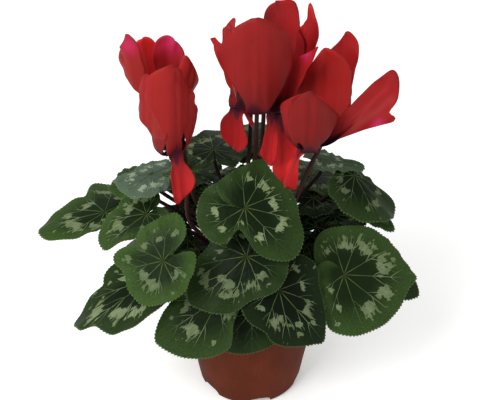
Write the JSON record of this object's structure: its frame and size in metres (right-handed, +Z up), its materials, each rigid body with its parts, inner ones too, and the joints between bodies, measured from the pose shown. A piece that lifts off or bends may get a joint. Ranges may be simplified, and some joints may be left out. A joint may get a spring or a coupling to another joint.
{
  "type": "potted cyclamen",
  "caption": "House plant with heart-shaped marbled leaves and upright crimson flowers with swept-back petals, in a small round plastic pot.",
  "frame": {"origin": "centre of the pot's underside, on the surface that it stands on", "axes": "+Z up; -Y towards the side that the picture shows; +X to the right seen from there"},
  "size_m": [0.2618, 0.1814, 0.2898],
  "materials": {
    "pot_plastic": "satin",
    "potting_soil": "matte",
    "stalk_skin": "satin",
    "leaf_blade": "satin",
    "petal": "satin"
  },
  "bodies": {
    "root": {"pot": "pot_plastic", "soil": "potting_soil", "tuber_with_leaf_stalks": "stalk_skin", "leaf_left_far": "leaf_blade", "leaf_left_middle": "leaf_blade", "leaf_left_grey": "leaf_blade", "leaf_left_behind": "leaf_blade", "leaf_left_face": "leaf_blade", "leaf_left_low": "leaf_blade", "leaf_top_left": "leaf_blade", "leaf_centre": "leaf_blade", "leaf_centre_low": "leaf_blade", "leaf_front_left": "leaf_blade", "leaf_front_middle": "leaf_blade", "leaf_front_right": "leaf_blade", "leaf_right_large": "leaf_blade", "leaf_right_tip": "leaf_blade", "leaf_right_shaded": "leaf_blade", "leaf_right_folded": "leaf_blade", "leaf_right_under": "leaf_blade", "leaf_right_top": "leaf_blade", "leaf_back_top": "leaf_blade", "leaf_left_inner": "leaf_blade", "leaf_left_shaded": "leaf_blade", "leaf_back_1": "leaf_blade", "leaf_back_2": "leaf_blade", "leaf_back_3": "leaf_blade", "leaf_back_4": "leaf_blade", "leaf_back_5": "leaf_blade", "leaf_back_6": "leaf_blade", "leaf_back_7": "leaf_blade", "leaf_back_8": "leaf_blade", "flower_left_back_petals": "petal", "flower_left_back_stalk": "stalk_skin", "flower_left_front_petals": "petal", "flower_left_front_stalk": "stalk_skin", "flower_middle_left_petals": "petal", "flower_middle_left_stalk": "stalk_skin", "flower_middle_petals": "petal", "flower_middle_stalk": "stalk_skin", "flower_middle_right_petals": "petal", "flower_middle_right_stalk": "stalk_skin", "flower_right_back_petals": "petal", "flower_right_back_stalk": "stalk_skin", "flower_right_front_petals": "petal", "flower_right_front_stalk": "stalk_skin"}
  },
  "joints": []
}
